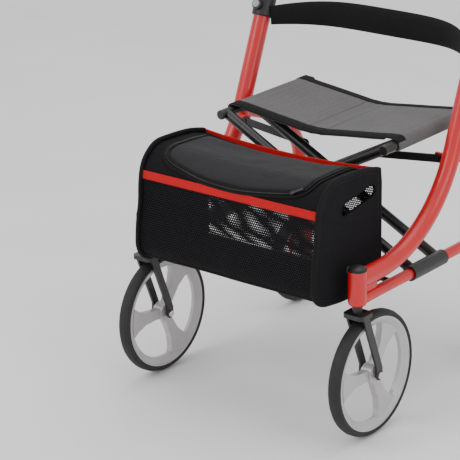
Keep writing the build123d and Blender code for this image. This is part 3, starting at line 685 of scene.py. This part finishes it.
while q < zl.total:
    (x, s), t = zl.at(q)
    p = top_point(x, s, 0.0052)
    n = surf_normal(x, s)
    p2_ = top_point(x + t.x * 0.001, s + t.y * 0.001, 0.0052)
    tang = (p2_ - p).normalized()
    side_v = tang.cross(n).normalized()
    c = p + side_v * 0.0007 * flip
    base = len(teeth_v)
    for a in (-1, 1):
        for b in (-1, 1):
            for cc in (-1, 1):
                teeth_v.append(c + tang * 0.0005 * a + side_v * 0.0013 * b + n * 0.0008 * cc)
    for f4 in ((0, 1, 3, 2), (4, 6, 7, 5), (0, 4, 5, 1), (2, 3, 7, 6), (0, 2, 6, 4), (1, 5, 7, 3)):
        teeth_f.append(tuple(base + k for k in f4))
    flip = -flip
    q += 0.0015
teeth = fix_normals(make("zip teeth", teeth_v, teeth_f, zip_mat, False))
finish_piece(teeth, "lid", squash=to_left)

# red webbing across the front, and along the back top edge
def band(name, s_mid, half, lift, n_across=5, sag_follow=True, mat=webbing_mat):
    us2 = lin(-XW, XW, 80)
    vs2 = lin(s_mid - half, s_mid + half, n_across)
    o = surf_grid(name, lambda x, s: top_point(x, s, lift), us2, vs2, mat)
    return fix_normals(thicken(o, 0.0016, 0))


stripe = band("front webbing", (S_STRIPE_TOP + S_STRIPE_BOT) / 2, (S_STRIPE_BOT - S_STRIPE_TOP) / 2 + 0.0005, 0.0022)
finish_piece(stripe, "frame_left", squash=to_left)
stripe_b = surf_grid(
    "back edge webbing",
    lambda x, v: Vector((x, YF + 0.0905 - 0.003 * (1 - (x / XW) ** 2), 0.5085 - 0.0095 * (1 - (x / XW) ** 2) - v)),
    lin(-XW, XW, 80),
    lin(0.0, 0.0135, 6),
    webbing_mat,
)
thicken(stripe_b, 0.0018, 0)
fix_normals(stripe_b)
finish_piece(stripe_b, "frame_left", squash=to_left)


# perforated cloth: real holes, in staggered rows
def mesh_wall(name, fn, width, s0, s1, pitch, hole, body, sq):
    """fn(x, s) gives the point. Each cell is a square with an eight-sided hole."""
    nx = int(width / pitch)
    ns = int((s1 - s0) / pitch)
    px, ps = width / nx, (s1 - s0) / ns
    verts, faces, index = [], [], {}

    def vid(x, s):
        key = (round(x, 6), round(s, 6))
        if key not in index:
            index[key] = len(verts)
            verts.append(fn(x, s))
        return index[key]

    for j in range(ns):
        shift = 0.5 * px if j % 2 else 0.0
        for i in range(nx + (1 if shift else 0)):
            x0 = -width / 2 + i * px - shift
            x1 = x0 + px
            x0c, x1c = max(x0, -width / 2), min(x1, width / 2)
            sa, sb = s0 + j * ps, s0 + (j + 1) * ps
            if x1c - x0c < px * 0.9:
                c = [vid(x0c, sa), vid(x1c, sa), vid(x1c, sb), vid(x0c, sb)]
                faces.append(tuple(c))
                continue
            xm, sm = (x0 + x1) / 2, (sa + sb) / 2
            outer = [
                (x0, sa), (xm, sa), (x1, sa), (x1, sm), (x1, sb), (xm, sb), (x0, sb), (x0, sm),
            ]
            inner = []
            for k in range(8):
                ang = math.radians(-135 + 45 * k)
                inner.append((xm + hole * 0.5 * math.cos(ang), sm + hole * 0.56 * math.sin(ang)))
            o_i = [vid(*q) for q in outer]
            i_i = []
            for q in inner:
                verts.append(fn(*q))
                i_i.append(len(verts) - 1)
            for k in range(8):
                k2 = (k + 1) % 8
                faces.append((o_i[k], o_i[k2], i_i[k2], i_i[k]))
    o = make(name, verts, faces, mesh_mat)
    thicken(o, 0.0007, 0)
    fix_normals(o)
    return finish_piece(o, body, squash=sq)


def front_point(x, s):
    (y, z), t = W.at(s)
    n = Vector((t.y, -t.x))
    if n.dot(Vector((y, z)) - Vector((YF, 0.40))) < 0:
        n = -n
    belly = 0.0015 * math.sin(math.pi * min(1, max(0, (s - S_STRIPE_BOT) / (S_MESH_END - S_STRIPE_BOT)))) * (1 - (x / XW) ** 4)
    d = wob(x, s, 0.55) - belly
    return Vector((x, y + n.x * d, z + n.y * d))


PITCH = 0.0046
mesh_wall("front mesh wall", front_point, 2 * XW, S_STRIPE_BOT - 0.001, S_MESH_END, PITCH, PITCH * 0.60, "frame_left", to_left)
BACK_Y = YF + 0.0885


def back_point(x, s):
    # s is the height here
    bow = 0.003 * (1 - (x / XW) ** 2)
    u = 1 - (x / XW) ** 2
    top_drop = 0.0155 * u * max(0.0, (s - 0.40) / 0.10)
    return Vector((x, BACK_Y - bow + wob(x, s, 0.6), s - top_drop))


mesh_wall("back mesh wall", back_point, 2 * XW, 0.289, 0.494, PITCH, PITCH * 0.60, "frame_left", to_left)
hem_back = surf_grid("back top hem", lambda x, s: back_point(x, s) + Vector((0, -0.0012, 0)), lin(-XW, XW, 60), lin(0.484, 0.5035, 5), mats["bag_fabric"])
thicken(hem_back, 0.0014, 0)
finish_piece(fix_normals(hem_back), "frame_left", squash=to_left)

# base cloth over the base board, from the front mesh's foot to the back wall
base = surf_grid("bag base cloth", front_point, lin(-XW, XW, 60), lin(S_MESH_END - 0.006, S_END - 0.001, 30), mats["bag_fabric"])
thicken(base, 0.0040, 0)
finish_piece(fix_normals(base), "frame_left", squash=to_left)
seam = band("front lower binding", S_MESH_END - 0.001, 0.0045, 0.0012, mat=binding_mat)
finish_piece(seam, "frame_left", squash=to_left)

# zip slider and its pull
sx_, ss_ = 0.150, 0.1895
sp = top_point(sx_, ss_, 0.0066)
sn = surf_normal(sx_, ss_)
st_ = (top_point(sx_ + 0.002, ss_ - 0.0008, 0.0066) - sp).normalized()
sd = st_.cross(sn).normalized()


def block(name, c, ax, ay, az, hx, hy, hz, mat, bevel=0.0006):
    vs3 = []
    for a in (-1, 1):
        for b in (-1, 1):
            for cc in (-1, 1):
                vs3.append(c + ax * hx * a + ay * hy * b + az * hz * cc)
    fs3 = [(0, 1, 3, 2), (4, 6, 7, 5), (0, 4, 5, 1), (2, 3, 7, 6), (0, 2, 6, 4), (1, 5, 7, 3)]
    o = fix_normals(make(name, vs3, fs3, mat, True))
    bv = o.modifiers.new("b", "BEVEL")
    bv.width = bevel
    bv.segments = 3
    apply_all(o)
    return o


slider = block("zip slider body", sp + sn * 0.0012, st_, sd, sn, 0.0050, 0.0036, 0.0015, mats["black_plastic"], 0.0012)
finish_piece(slider, "zip", "zip_slider")
pull = block("zip pull", sp + st_ * 0.0130 + sn * 0.0016, st_, sd, sn, 0.0095, 0.0024, 0.0007, mats["black_plastic"], 0.0005)
finish_piece(pull, "zip")

# --------------------------------------------------------------------------
# seat: two slung halves with a dark hem, and the soft middle crease
# --------------------------------------------------------------------------
SAG = math.radians(7.0)
RX, RZ = 0.200, 0.5304
Y0, Y1 = -0.062, 0.190


def seat_half(side, name):
    """side -1 is the right half. A padded cloth panel from the rail to the middle."""
    L = 0.1785
    r = 0.0141
    us4 = lin(0, 1, 46)
    vs4 = lin(0, 1, 44)
    profile = []
    # wraps round the rail from below the outside, over the top, then down the slope
    for k in range(15):
        a = math.radians(250 - (250 - (90 + 0)) * k / 14)
        rr = 0.0119 + (r - 0.0119) * min(1.0, max(0.0, (k - 7) / 7)) ** 1.5
        profile.append((rr * math.cos(a), rr * math.sin(a)))
    for k in range(1, 40):
        d = L * k / 39
        profile.append((d, r))
    verts, faces = [], []
    ca, sa = math.cos(SAG), math.sin(SAG)
    for v in vs4:
        y = Y0 + (Y1 - Y0) * v
        for (a, b) in profile:
            edge = min(v, 1 - v) * (Y1 - Y0)
            roll = 0.0035 * max(0.0, 1 - edge / 0.012) ** 2
            ripple = (0.5 + 0.5 * noise.noise(Vector((a * 14 + side, y * 11, 1.2)))) * 0.0016 if a > 0.01 else 0.0
            dip = 0.0
            bb = b - roll * (1 if a > 0.02 else 0) + ripple + dip
            px_, pz_ = a * ca + bb * sa, -a * sa + bb * ca
            verts.append((side * (RX - px_), y, RZ + pz_))
    n = len(profile)
    for j in range(len(vs4) - 1):
        for i in range(n - 1):
            faces.append((j * n + i, j * n + i + 1, (j + 1) * n + i + 1, (j + 1) * n + i))
    o = make("seat cloth " + name, verts, faces, mats["seat_fabric"])
    thicken(o, 0.0024, 0)
    fix_normals(o)
    finish_piece(o, "seat_" + name, "seat_half_" + name)
    # hems along the front and back edges
    for tag, ya, yb in (("front", Y0 - 0.0012, Y0 + 0.024), ("back", Y1 - 0.024, Y1 + 0.0012)):
        hv, hf = [], []
        for v in lin(0, 1, 9):
            y = ya + (yb - ya) * v
            for (a, b) in profile[8:]:
                vv = min(1, max(0, (y - Y0) / (Y1 - Y0)))
                edge = min(vv, 1 - vv) * (Y1 - Y0)
                roll = 0.0035 * max(0.0, 1 - edge / 0.012) ** 2
                dip = 0.0
                ripple = (0.5 + 0.5 * noise.noise(Vector((a * 14 + side, y * 11, 1.2)))) * 0.0016 if a > 0.01 else 0.0
                bb = b - roll * (1 if a > 0.02 else 0) + ripple + dip + 0.0019
                hv.append((side * (RX - (a * ca + bb * sa)), y, RZ + (-a * sa + bb * ca)))
        m = len(profile) - 8
        for j in range(8):
            for i in range(m - 1):
                hf.append((j * m + i, j * m + i + 1, (j + 1) * m + i + 1, (j + 1) * m + i))
        h = make("seat hem %s %s" % (tag, name), hv, hf, mats["strap_fabric"])
        thicken(h, 0.0016, 0)
        fix_normals(h)
        finish_piece(h, "seat_" + name)
        # double row of stitches on the hem
        tv, tf = [], []
        for yy in (yb - 0.003, yb - 0.006) if tag == "front" else (ya + 0.003, ya + 0.006):
            vv = (yy - Y0) / (Y1 - Y0)
            dip = 0.0
            d = 0.018
            while d < L - 0.004:
                a = d
                dp = dip * min(1.0, a / 0.1)
                ripple = (0.5 + 0.5 * noise.noise(Vector((a * 14 + side, yy * 11, 1.2)))) * 0.0016
                bb = r + ripple + dp + 0.0029
                q = []
                for aa, cc in ((a, -0.0003), (a, 0.0003), (a + 0.0028, 0.0003), (a + 0.0028, -0.0003)):
                    q.append((side * (RX - (aa * ca + bb * sa)), yy + cc, RZ + (-aa * sa + bb * ca)))
                base = len(tv)
                aa = a + 0.0014
                q.append((side * (RX - (aa * ca + (bb + 0.0005) * sa)), yy, RZ + (-aa * sa + (bb + 0.0005) * ca)))
                tv += q
                tf += [(base, base + 1, base + 4), (base + 1, base + 2, base + 4), (base + 2, base + 3, base + 4), (base + 3, base, base + 4)]
                d += 0.0044
        th = fix_normals(make("seat stitches %s %s" % (tag, name), tv, tf, thread_mat))
        finish_piece(th, "seat_" + name)


seat_half(-1, "right")
seat_half(1, "left")

# the crease between them: a narrow strip
edge_x = RX - 0.1780 * math.cos(SAG)
edge_z = RZ - 0.1780 * math.sin(SAG) + 0.0141 * math.cos(SAG)


def crease_point(x, y):
    v = min(1, max(0, (y - Y0) / (Y1 - Y0)))
    dip = 0.0
    edge = min(v, 1 - v) * (Y1 - Y0)
    roll = 0.0035 * max(0.0, 1 - edge / 0.012) ** 2
    return Vector((x, y, edge_z - (edge_x - abs(x)) * math.tan(SAG) * 0.3 + dip - roll - 0.0006 * math.exp(-((x / 0.004) ** 2)) + 0.0012))


ex = edge_x - 0.0030
crease = surf_grid("seat crease cloth", crease_point, lin(-ex, ex, 31), lin(Y0, Y1, 44), mats["seat_fabric"])
thicken(crease, 0.0024, 0)
finish_piece(fix_normals(crease), "seat_right", "seat_crease", ("fold", (1, 0, 0), (-ex, 0, 0.5), 0.20))
for tag, ya, yb in (("front", Y0 - 0.0012, Y0 + 0.024), ("back", Y1 - 0.024, Y1 + 0.0012)):
    h = surf_grid("crease hem " + tag, lambda x, y: crease_point(x, y) + Vector((0, 0, 0.0019)), lin(-ex - 0.0005, ex + 0.0005, 25), lin(ya, yb, 9), mats["strap_fabric"])
    thicken(h, 0.0016, 0)
    finish_piece(fix_normals(h), "seat_right", squash=("fold", (1, 0, 0), (-ex, 0, 0.5), 0.20))

# --------------------------------------------------------------------------
# back strap: a padded band between the two uprights
# --------------------------------------------------------------------------
lean = math.radians(68)
P2 = (YF + 0.021 + 0.274 * math.sin(lean), 0.607 - 0.274 * math.cos(lean))
UPy, UPz = math.cos(lean), math.sin(lean)


def on_upright(z):
    return P2[0] + (z - P2[1]) * UPy / UPz


BZ = 0.687
BY = on_upright(BZ)
SX = FX - 0.0245


def strap_point(x, v, w):
    """x across, v in -1..1 up the band, w in -1..1 through its padding."""
    k = x / SX
    y = BY - 0.004 + 0.092 * (1 - k ** 4)
    taper = 1 - 0.30 * abs(k) ** 3
    pad = (0.0065 * (1 - abs(k) ** 6) + 0.0022) * (1 - abs(v) ** 4) ** 0.5
    channels = 1 - 0.28 * math.exp(-((abs(v) - 0.55) / 0.06) ** 2)
    n = Vector((0.368 * k ** 3 / SX, 1.0, 0)).normalized()
    return Vector((x, y, BZ + v * 0.030 * taper)) + n * (w * pad * channels)


NV = 14
TS = [0.0, 0.002] + lin(0.02, 0.985, 46) + [0.999, 1.003]
NX_ = len(TS)
tilt = math.radians(28)
# each half rides on its own side
for side, name in ((1, "left"), (-1, "right")):
    sv, sf = [], []
    for i in range(NX_):
        x = side * SX * (1 - TS[i])
        for j in range(NV):
            ang = 2 * math.pi * j / NV
            v, w = math.cos(ang), math.sin(ang)
            sv.append(strap_point(x, math.copysign(abs(v) ** 0.6, v) * 0.98, math.copysign(abs(w) ** 0.5, w)))
    for i in range(NX_ - 1):
        for j in range(NV):
            sf.append((i * NV + j, i * NV + (j + 1) % NV, (i + 1) * NV + (j + 1) % NV, (i + 1) * NV + j))
    sf.append(tuple(range(NV)))
    sf.append(tuple((NX_ - 1) * NV + k for k in range(NV)))
    strap = fix_normals(make("back strap pad " + name, sv, sf, mats["strap_fabric"]))
    ss = strap.modifiers.new("s", "SUBSURF")
    ss.levels = 1
    apply_all(strap)
    strap_squash = ("fold", (side * math.cos(tilt), math.sin(tilt), 0), (side * SX, BY - 0.004, BZ), 0.083)
    finish_piece(strap, "frame_" + name, "backrest_strap" if side > 0 else None, strap_squash)

# --------------------------------------------------------------------------
# stage, lights, camera
# --------------------------------------------------------------------------
fl, fl_nt, fl_b = new_mat("floor")
fv = coords(fl_nt)
fl_nt.links.new(ramp(fl_nt, noise_node(fl_nt, fv, 3.0, 2), (0.86, 0.86, 0.86), (0.90, 0.90, 0.90)), fl_b.inputs["Base Color"])
fl_b.inputs["Roughness"].default_value = 0.6
floor = make("floor", [(-8, -8, -0.0005), (8, -8, -0.0005), (8, 8, -0.0005), (-8, 8, -0.0005)], [(0, 1, 2, 3)], fl, False)

world = bpy.data.worlds.new("studio")
bpy.context.scene.world = world
world.use_nodes = True
wn = world.node_tree
wn.nodes.clear()
wo = wn.nodes.new("ShaderNodeOutputWorld")
wb = wn.nodes.new("ShaderNodeBackground")
wb.inputs["Color"].default_value = (1, 1, 1, 1)
wb.inputs["Strength"].default_value = 0.98
wn.links.new(wb.outputs[0], wo.inputs[0])


def area(name, loc, target, size, energy):
    d = bpy.data.lights.new(name, "AREA")
    d.shape = "RECTANGLE"
    d.size, d.size_y = size
    d.energy = energy
    o = bpy.data.objects.new(name, d)
    o.location = loc
    o.rotation_euler = (Vector(target) - Vector(loc)).to_track_quat("-Z", "Y").to_euler()
    bpy.context.scene.collection.objects.link(o)
    return o


area("key", (-1.2, -2.6, 2.6), (0, 0, 0.4), (1.6, 1.6), 34)
area("side", (2.8, -0.6, 1.6), (0, 0, 0.4), (1.2, 1.6), 15)
area("top", (0.2, 0.4, 3.2), (0, 0, 0.4), (2.4, 2.4), 26)

cam_d = bpy.data.cameras.new("camera")
cam_d.lens = 163.82
cam_d.sensor_width = 36.0
cam_d.clip_end = 100
cam = bpy.data.objects.new("camera", cam_d)
bpy.context.scene.collection.objects.link(cam)
R = ((0.7826303377, -0.2033457824, 0.5883368485), (0.6222735313, 0.2803073763, -0.7308922130), (-0.0162913094, 0.9381248679, 0.3459137546))
M = Matrix([(*R[0], 2.3638354335), (*R[1], -3.2610993566), (*R[2], 1.7818398173), (0, 0, 0, 1)])
cam.matrix_world = M
bpy.context.scene.camera = cam
